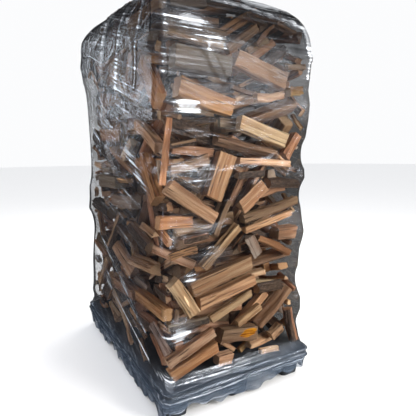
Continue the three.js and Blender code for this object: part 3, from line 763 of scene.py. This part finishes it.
def rim_ropes(height, place):
    """How far the film stands out in ropes round the pallet's rim: a sum of sines of the height,
    whose phases drift round the load, within exp(-((z - middle) / spread)^2)."""
    slant = wavy(place, 7, (1.3, 0.7, 0.33), 0.9)
    rope = np.zeros_like(height)
    for spacing, lean, phase in ROPES:
        rope += np.sin(TAU * height / spacing + lean * slant + phase) * spacing
    return np.exp(-((height - ROPE_MIDDLE) / ROPE_SPREAD) ** 2) * (0.14 * rope + 0.0025)


def film_surfaces(logs):
    """Places of the wound film and of the cover sheet on one grid of rows and columns.  The
    cover sheet is drawn over the logs first, with pleats down the shoulders; the wound film
    then lies outside both, grips the pallet's rim in ropes and ends in a loose hem."""
    profile = load_profile()
    outer, ways, place = film_rays(profile)
    half, height = profile[:, 0], profile[:, 1]
    room = film_room(outer, ways, height, logs)
    sheet_depth = draw_tight(outer, ways, room, 220, 0.5) - sheet_pleats(outer, half, place)
    covered = height[:, None] > SHEET_HEM - 0.03
    under_sheet = np.where(covered, sheet_depth - 0.0022, room)
    under_sheet = np.clip(np.minimum(room, under_sheet), LEAST_DEPTH, None)
    wrap_depth = draw_tight(outer, ways, under_sheet, 260, 0.14)
    wrap = hang_hem(outer, ways, wrap_depth, height, place)
    wrap += ways * rim_ropes(wrap[..., 2], place)[..., None]
    sheet = outer - ways * sheet_depth[..., None]
    return wrap[(half >= WRAP_LIP) | (height < 1.0)], sheet[height > SHEET_HEM]


def milk_and_glare(points):
    """How much milk and how many wrinkles the film has at each point, and where sheen and glints
    are
    painted on it: most round the pallet's rim and over the far part of the left side, where the
    pale film is partly its own milk and partly a painted reflection; little at the front except
    where it is bunched or folded, and beyond 1 white glints are painted there.  A bunch is
    exp(-((x - a) / w)^2 - ((z - b) / h)^2), a fold exp(-(distance / w)^2) round its line."""
    x, y, z = points[..., 0], points[..., 1], points[..., 2]
    # Over the far part of the left side the pale film is partly its own milk, partly a painted
    # reflection.
    left = eased(-x, 0.26, 0.35) * (0.25 + 0.75 * eased(y, -0.50, -0.15))
    behind = eased(y, 0.40, 0.55)
    value = 0.05 + 0.46 * np.maximum(left, behind)
    # Bunches and folds: cloudy film, and beyond 1 white painted highlights.
    for place_x, place_z, wide, high, size in FRONT_BUNCHES_AND_GLINTS:
        spot = ((x - place_x) / wide) ** 2 + ((z - place_z) / high) ** 2
        value += size * np.exp(-spot) * eased(-y, 0.40, 0.47)
    for folds, across, near in ((FRONT_FOLDS, x, eased(-y, 0.38, 0.45)),
                                (LEFT_FOLDS, y, eased(-x, 0.27, 0.31))):
        for start, end, wide, size in folds:
            line = np.subtract(end, start)
            here = np.stack([across, z], -1) - start
            part = np.clip(here @ line / (line @ line), 0, 1)
            away = np.linalg.norm(here - part[..., None] * line, axis=-1)
            value += size * np.exp(-(away / wide) ** 2) * near
    return np.maximum(value, eased(-z, -0.21, -0.15))


# ------------------------------------------------------------------ finishes

class Value:
    """One output socket of a finish, for writing sums of values plainly."""

    def __init__(self, finish, socket):
        self.finish, self.socket = finish, socket

    def math(self, operation, *others, first=None):
        inputs = dict(enumerate([self if first is None else first, *others]))
        return self.finish.node("Math", {"operation": operation}, inputs)

    def __add__(self, other):
        return self.math("ADD", other)

    def __sub__(self, other):
        return self.math("SUBTRACT", other)

    def __mul__(self, other):
        return self.math("MULTIPLY", other)

    def __truediv__(self, other):
        return self.math("DIVIDE", other)

    def __rsub__(self, other):
        return self.math("SUBTRACT", self, first=other)

    def __rtruediv__(self, other):
        return self.math("DIVIDE", self, first=other)

    __radd__ = __add__
    __rmul__ = __mul__

    def between(self, low, high, to_low=0.0, to_high=1.0):
        """Eases from to_low to to_high as the value goes from low to high."""
        return self.finish.node("MapRange", {"interpolation_type": "SMOOTHSTEP"}, {
            "Value": self, "From Min": low, "From Max": high, "To Min": to_low,
            "To Max": to_high})


class Finish:
    """The nodes of a new material, or of the surroundings."""

    def __init__(self, owner):
        self.owner = owner
        self.owner.use_nodes = True
        self.tree = self.owner.node_tree
        self.tree.nodes.clear()

    def node(self, kind, settings=None, inputs=None, output=None):
        """Adds a node: its settings first, then each input socket's value or link.  Sockets
        are named by identifier, by name or by place."""
        made = self.tree.nodes.new("ShaderNode" + kind)
        for key, value in (settings or {}).items():
            setattr(made, key, value)
        for key, value in (inputs or {}).items():
            socket = made.inputs[key] if isinstance(key, int) else next(
                (s for s in made.inputs if s.identifier == key),
                None) or made.inputs[key]
            if isinstance(value, Value):
                self.tree.links.new(value.socket, socket)
            else:
                socket.default_value = value
        found = made.outputs[0] if output is None else next(
            s for s in made.outputs if output in (s.identifier, s.name))
        return Value(self, found)

    def attribute(self, name, output="Fac"):
        return self.node("Attribute", {"attribute_name": name}, output=output)

    def place(self):
        return self.node("TexCoord", output="Object")

    def scaled(self, vector, x, y, z):
        return self.node("VectorMath", {"operation": "MULTIPLY"}, {0: vector, 1: (x, y, z)})

    def noise(self, vector, detail=3.0, rough=0.5, distortion=0.0):
        return self.node("TexNoise", inputs={
            "Vector": vector, "Scale": 1.0, "Detail": detail, "Roughness": rough,
            "Distortion": distortion})

    def mix(self, factor, one, other, blend="MIX"):
        return self.node("Mix", {"data_type": "RGBA", "blend_type": blend}, {
            "Factor_Float": factor, "A_Color": one, "B_Color": other}, "Result_Color")

    def bump(self, height, distance, strength=1.0):
        return self.node("Bump", inputs={"Height": height, "Distance": distance,
                                         "Strength": strength}, output="Normal")

    def shader(self, **inputs):
        named = {key.replace("_", " "): value for key, value in inputs.items()}
        return self.node("BsdfPrincipled", inputs=named)

    def done(self, shader):
        kind = "World" if isinstance(self.owner, bpy.types.World) else "Material"
        output = self.tree.nodes.new("ShaderNodeOutput" + kind)
        self.tree.links.new(shader.socket, output.inputs["Surface"])
        return self.owner


def rgb(red, green, blue):
    """A full colour from its three shares."""
    return (red, green, blue, 1.0)


def wood_finish():
    """Split wood: growth rings about a pith that may lie outside the log, drawn out along it
    into grain; fibre streaks, darker heartwood, rough dark bark and paler sawn ends."""
    f = Finish(bpy.data.materials.new("split_wood"))
    grain = f.attribute("grain", "Vector")
    tone = f.attribute("tone", "Color")
    sawn, bark = f.attribute("sawn"), f.attribute("bark")
    wander = f.noise(f.scaled(grain, 3, 16, 16), detail=2)
    across = f.node("VectorMath", {"operation": "LENGTH"}, {0: f.scaled(grain, 0, 1, 1)},
                    output="Value")
    ring = (across * 1500 + wander * 9).math("SINE") * 0.5 + 0.5
    fibre = f.noise(f.scaled(grain, 7, 260, 260), detail=5, rough=0.65)
    streak = f.noise(f.scaled(grain, 3, 60, 60), detail=3)
    patch = f.noise(f.scaled(grain, 6, 18, 18), detail=2)
    heart = across.between(0.015, 0.060)

    dark = f.mix(1.0, tone, rgb(0.52, 0.42, 0.36), "MULTIPLY")
    light = f.mix(0.35, tone, rgb(0.72, 0.55, 0.36))
    colour = f.mix(streak.between(0.35, 0.66), dark, tone)
    colour = f.mix(ring * ring * 0.22, colour, dark)
    colour = f.mix(fibre.between(0.52, 0.74) * 0.30, colour, light)
    colour = f.mix(heart * 0.22 + patch.between(0.54, 0.70) * 0.30, colour,
                   f.mix(1.0, tone, rgb(0.80, 0.56, 0.42), "MULTIPLY"))
    # Painted shade: thin crack lines are painted near black, as the shade in them; they are also
    # cut into the bump.
    shaded_cracks = f.noise(f.scaled(grain, 5, 150, 150), detail=1).between(0.30, 0.36, 1.0, 0.0)
    colour = f.mix(shaded_cracks * 0.8, colour, rgb(0.035, 0.018, 0.010))
    resin = f.attribute("resin")
    rough_bark = f.noise(f.scaled(grain, 60, 120, 120), detail=5, rough=0.7)
    colour = f.mix(bark * 0.93, colour, f.mix(rough_bark.between(0.4, 0.65),
                                              rgb(0.030, 0.020, 0.015),
                                              rgb(0.13, 0.085, 0.060)))
    sawn_face = f.mix(ring * 0.5, f.mix(0.30, tone, rgb(0.50, 0.36, 0.22)), dark)
    colour = f.mix(sawn * 0.85, colour, sawn_face)
    drops = (patch + streak * 0.6 + resin).between(1.30, 1.45) * resin.between(0.1, 0.4)
    colour = f.mix(drops, colour, f.mix(fibre.between(0.4, 0.6), rgb(0.20, 0.055, 0.006),
                                        rgb(0.72, 0.30, 0.020)))
    relief = fibre * 0.6 + streak * 0.8 + ring * 0.12 - shaded_cracks + bark * rough_bark * 2.5
    return f.done(f.shader(
        Base_Color=colour, Roughness=fibre.between(0.3, 0.7, 0.62, 0.88) * (1 - drops * 0.75),
        Specular_IOR_Level=0.35, Normal=f.bump(relief, 0.0022, 0.9)))


def film_finish(name, layers, veil, tint_and_shade_share, tint, light, roughness):
    """Clear film in several layers, with a near-black layer round the top of the load that is
    partly its dark tint and partly painted shade.  Its shine grows with the number of layers and
    with the angle.  Where it is bunched or pulled it is cloudy, with pale slanting streaks that
    are partly painted sheen, fine wrinkles and white painted highlights."""
    f = Finish(bpy.data.materials.new(name))
    place = f.place()
    milk_glare = f.attribute("milk_glare")
    wound = f.node("VectorMath", {"operation": "ADD"}, {0: place, 1: f.node(
        "CombineXYZ", inputs={2: f.node("SeparateXYZ", inputs={0: place}, output="Y") * -0.32})})
    line = f.noise(f.scaled(wound, 2.2, 2.2, 95), detail=4, rough=0.6)
    fine = f.noise(f.scaled(wound, 5, 5, 330), detail=3)
    band = f.noise(f.scaled(place, 0.35, 0.35, 5.0), detail=2)
    cloud = f.noise(f.scaled(place, 5, 5, 8), detail=3, distortion=0.6)
    fold = f.noise(f.scaled(place, 14, 14, 9), detail=4, rough=0.6, distortion=1.4)
    crease = (1 - (fold - 0.5).math("ABSOLUTE") * 16).math("MAXIMUM", 0.0)

    level = f.node("SeparateXYZ", inputs={0: place}, output="Z")
    rim, skirt = level.between(0.14, 0.20, 1.0, 0.0), level.between(0.095, 0.125, 1.0, 0.0)
    turns = band.between(0.35, 0.65, layers * 0.6, layers * 1.4)
    once = f.node("Fresnel", inputs={"IOR": 1.5})
    stack = turns * once / (1 + (turns - 1) * once) * level.between(1.15, 1.55, 1.0, 0.35)
    pulled = (cloud + milk_glare * 0.5).between(0.48, 0.85)
    streaks = line.between(0.50, 0.68) * 0.8 + fine.between(0.56, 0.72) * 0.4
    streaks = streaks + crease * 0.12 * (1 - rim)
    # Painted highlight: where the film is cloudiest and most wrinkled, white glints are painted
    # into its colour and cover.
    painted_glint = (milk_glare + (fold - 0.5) * 2.4 + (line - 0.5) * 3.2).between(1.10, 1.50)
    painted_glint = painted_glint * (1 - rim * 0.9) * (0.35 + streaks * 0.6)
    # Cloudy cover with pale streaks: partly the film's own milk, partly painted reflection and
    # sheen.
    milk = milk_glare.math("MINIMUM", 1.0) * veil + pulled * streaks * (0.06 + milk_glare * 0.30)
    total = stack + milk + skirt * 0.30 + painted_glint * 0.85
    total = total.math("MINIMUM", 0.93)
    height = (line * 0.34 + fine * 0.06) * (0.2 + pulled)
    height = height + (fold + crease * 0.05) * pulled * (0.75 - rim * 0.65)
    shade = f.mix(rim, tint, rgb(0.11, 0.145, 0.20))
    # Pale streaks in the colour: partly the film's stretch lines, partly painted sheen.
    shade = f.mix(streaks.between(0.2, 1.0) * level.between(1.30, 1.60, 0.8, 0.5), shade, light)
    # The white of the painted highlights is mixed into the base colour.
    glossy = f.shader(
        Base_Color=f.mix(painted_glint.math("MINIMUM", 1.0), shade, rgb(0.86, 0.90, 0.94)),
        Metallic=stack / (total + 0.001), Roughness=roughness,
        Normal=f.bump(height, 0.012, 0.8))
    # Painted shade: a near-black matte layer, partly the film's own dark tint, that darkens the
    # top of the load.
    dark_tint_and_shade = f.shader(
        Base_Color=f.mix(streaks, rgb(0.006, 0.0065, 0.007), rgb(0.05, 0.053, 0.06)),
        Roughness=0.8, Specular_IOR_Level=0.0)
    # The painted shade fades in from 1.20 m to 1.45 m up and thins above 1.70 m.
    top_tint_and_shade = level.between(1.20, 1.45) * level.between(1.70, 1.80, 1.0, 0.6) * tint_and_shade_share
    clear = f.node("MixShader", inputs={0: top_tint_and_shade, 1: f.node("BsdfTransparent"), 2: dark_tint_and_shade})
    return f.done(f.node("MixShader", inputs={0: total, 1: clear, 2: glossy}))


def plastic_finish():
    """Dark recycled plastic: faint mottling and light scuffs."""
    f = Finish(bpy.data.materials.new("black_plastic"))
    place = f.place()
    mottle = f.noise(f.scaled(place, 30, 30, 30), detail=4)
    scuff = f.noise(f.scaled(place, 22, 22, 140), detail=4, rough=0.65).between(0.58, 0.74)
    colour = f.mix(mottle, rgb(0.017, 0.020, 0.025), rgb(0.045, 0.050, 0.060))
    colour = f.mix(scuff * 0.4, colour, rgb(0.13, 0.14, 0.16))
    return f.done(f.shader(
        Base_Color=colour, Roughness=mottle.between(0.3, 0.7, 0.38, 0.62),
        Normal=f.bump(mottle + scuff * 0.5, 0.0012, 0.6)))


def floor_finish():
    """Plain pale floor, with the faintest unevenness, paler far away where less light falls."""
    f = Finish(bpy.data.materials.new("pale_floor"))
    uneven = f.noise(f.scaled(f.place(), 1.2, 1.2, 1.2), detail=2)
    away = f.node("VectorMath", {"operation": "LENGTH"}, {0: f.place()}, output="Value")
    near = f.mix(uneven, rgb(0.88, 0.88, 0.88), rgb(0.91, 0.91, 0.91))
    return f.done(f.shader(
        Base_Color=f.mix(away.between(1.8, 4.5), near, rgb(1.0, 1.0, 1.0)), Roughness=0.75))


# ------------------------------------------------------------------ the object

def wear(piece, finish, slot, *nodes):
    """Gives a piece its finish, ties it to the body and hides the CAD nodes that it stands for;
    slot is not used.
    """
    piece.data.materials.append(finish)
    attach(piece, BODY)
    if nodes:
        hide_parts(*nodes)


def numbered_logs(pile, wood):
    """One piece for each log that CAD has on its own.  The way out in front of it is kept clear
    of loose logs."""
    shares = np.array([0, 0.03, 0.09, 0.18, 0.28, 0.39, 0.5, 0.61, 0.72, 0.82, 0.91, 0.97])
    stations = np.concatenate([[0, 0.012], np.linspace(0.05, 0.95, 14), [0.988, 1]])
    names = sorted(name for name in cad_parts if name.split("_")[0] in WOOD_TONES)
    for number, name in enumerate(names):
        log = log_from_node(name, np.random.default_rng([77, number]))
        piece = log_piece(f"{name}_wood", [log], shares, stations, [0.965, 0.7, 0.35], 0.0011)
        if name == RESIN_LOG:
            away = mesh_array(piece.data.vertices, "co", 3) - RESIN_PLACE
            away = np.linalg.norm(away / RESIN_SIZE, axis=1)
            point_values(piece, "resin", "FLOAT", np.exp(-away ** 2))
        wear(piece, wood, f"{name.split('_')[0]}_wood", name)
        pile.add(log, share=0.98)
        out, _ = side_axes(LEFT if int(name[-2:]) >= LEFT_LOGS_FROM else FRONT)
        for step in range(1, CLEAR_STEPS + 1):
            shift = out * CLEAR_STEP * step
            if beyond_film(log.box_centre + shift) < 0:
                pile.hold(log, shift, 0.85)


def loose_heap(pile, wood):
    """The rest of the heap: deep courses in the middle, then loose logs from every side."""
    core = stacked_core()
    for log in core:
        pile.add(log, share=1.0)
    deep = log_piece("deep_logs", core, np.array([0, 0.5]), np.array([0, 0.5, 1]), [0.9], 0.002)
    wear(deep, wood, "heap_wood")

    heap = {side: [] for side in ("front", "left", "right", "back", "top")}
    sides = {"front": FRONT, "left": LEFT, "right": RIGHT, "back": BACK}
    for turn, (limit, size) in enumerate(FILL_TURNS):
        for side, facing in sides.items():
            heap[side] += fill_side(pile, facing + 45, EDGE_TRIES, limit + EDGE_DEEPER,
                                    [11 + turn, int(facing)], size)
            heap[side] += fill_side(pile, facing, SIDE_TRIES, limit, [21 + turn, int(facing)],
                                    size)
        heap["top"] += fill_top(pile, TOP_TRIES, TOP_PUSH + TOP_PUSH_MORE * turn, 25 + turn,
                                size)
    shares = np.array([0, 0.05, 0.25, 0.5, 0.75, 0.95])
    stations = np.array([0, 0.03, 0.2, 0.4, 0.6, 0.8, 0.97, 1])
    for side, logs in heap.items():
        piece = log_piece(f"{side}_logs", logs, shares, stations, [0.93, 0.5], 0.0012)
        wear(piece, wood, "heap_wood", *(["log_heap"] if side == "front" else []))


def films(logs):
    """The wound film and the cover sheet under it."""
    wrap, sheet = film_surfaces(logs)
    clear = film_finish("stretch_film", 2.0, 0.18, 0.45, rgb(0.13, 0.14, 0.16),
                        rgb(0.50, 0.53, 0.58), 0.16)
    cover = film_finish("cover_film", 1.2, 0.40, 0.26, rgb(0.045, 0.048, 0.053),
                        rgb(0.20, 0.215, 0.235), 0.34)
    wound = mesh_object("wound_film", wrap.reshape(-1, 3), grid_faces(*wrap.shape[:2]))
    point_values(wound, "milk_glare", "FLOAT", milk_and_glare(wrap))
    wear(wound, clear, "stretch_film", "stretch_wrap")
    draped = mesh_object("draped_sheet", sheet.reshape(-1, 3), grid_faces(*sheet.shape[:2]))
    # Over the top of the cover sheet, most at its front, the film is made cloudier: partly its own
    # milk, partly painted sheen and white painted highlights.
    cap_glare = 0.45 + 1.0 * eased(-sheet[..., 1], 0.1, 0.4)
    point_values(draped, "milk_glare", "FLOAT", 0.9 * milk_and_glare(sheet)
                 + cap_glare * eased(sheet[..., 2], 1.68, 1.76))
    wear(draped, cover, "cover_film", "cover_sheet")


def build_object():
    """The logs first, because the film is drawn over them, and the pallet's finish last."""
    wood = wood_finish()
    pile = Pile()
    numbered_logs(pile, wood)
    loose_heap(pile, wood)
    films(pile.logs)
    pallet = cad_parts["pallet"]
    pallet.data.materials.clear()
    pallet.data.materials.append(plastic_finish())


# ------------------------------------------------------------------ floor, light and camera

def area_light(name, place, aim, size, power, colour):
    """A soft lamp at a place, turned to a point."""
    lamp = bpy.data.lights.new(name, "AREA")
    lamp.shape, lamp.size, lamp.size_y = "RECTANGLE", *size
    lamp.energy, lamp.color = power, colour
    stand = bpy.data.objects.new(name, lamp)
    stand.location = place
    away = np.array(place) - aim
    flat = np.hypot(*away[:2])
    stand.rotation_euler = (np.arctan2(flat, away[2]), 0, np.arctan2(away[0], -away[1]))
    bpy.context.scene.collection.objects.link(stand)


def studio(scene):
    """Plain pale surroundings.  They are only looked at: the lamps alone light the load, and
    the film mirrors nothing but them."""
    scene.world = bpy.data.worlds.new("studio")
    f = Finish(scene.world)
    f.done(f.node("Background", inputs={"Color": rgb(0.985, 0.99, 1.0), "Strength": 0.985}))
    scene.world.cycles_visibility.diffuse = False
    scene.world.cycles_visibility.glossy = False


def sky_light(strength, spread):
    """Even soft light from overhead, out of a wide round patch that the film doesn't mirror."""
    lamp = bpy.data.lights.new("overhead", "SUN")
    lamp.energy, lamp.angle, lamp.color = strength, np.radians(spread), (0.97, 0.98, 1.0)
    stand = bpy.data.objects.new("overhead", lamp)
    stand.visible_glossy = False
    bpy.context.scene.collection.objects.link(stand)


def build_scene(scene):
    """A plain pale floor, the surroundings, five soft lamps and the camera."""
    angles = np.arange(96) / 96 * TAU
    rings = [np.column_stack([r * np.cos(angles), r * np.sin(angles), np.zeros(96)])
             for r in (30.0, 8.0, 2.0, 0.2)]
    floor = mesh_object("floor", np.vstack(rings), grid_faces(4, 96), [])
    floor.data.materials.append(floor_finish())
    floor.visible_glossy = False

    studio(scene)
    scene.view_settings.view_transform = "Standard"
    sky_light(3.0, 116)
    area_light("key", (2.2, -4.3, 2.3), (0, 0, 0.5), (2.2, 2.2), 340, (1.0, 0.98, 0.95))
    area_light("side", (-4.2, -1.4, 1.9), (0, 0, 0.4), (2.0, 2.4), 100, (0.96, 0.95, 1.0))
    area_light("edge", (-1.9, 3.6, 2.3), (-0.4, 0, 1.0), (1.0, 1.6), 35, (0.92, 0.96, 1.0))
    area_light("fill", (3.4, 3.0, 2.4), (0, 0, 0.9), (2.4, 2.4), 90, (1.0, 0.98, 0.95))

    lens = bpy.data.cameras.new("camera")
    lens.lens = 394 / 416 * lens.sensor_width
    camera = bpy.data.objects.new("camera", lens)
    camera.location = (-0.983, -1.952, 1.134)
    camera.rotation_euler = np.radians([90 - 8.4, 0.5, -30.6])
    scene.collection.objects.link(camera)
    scene.camera = camera


build_object()
build_scene(bpy.context.scene)
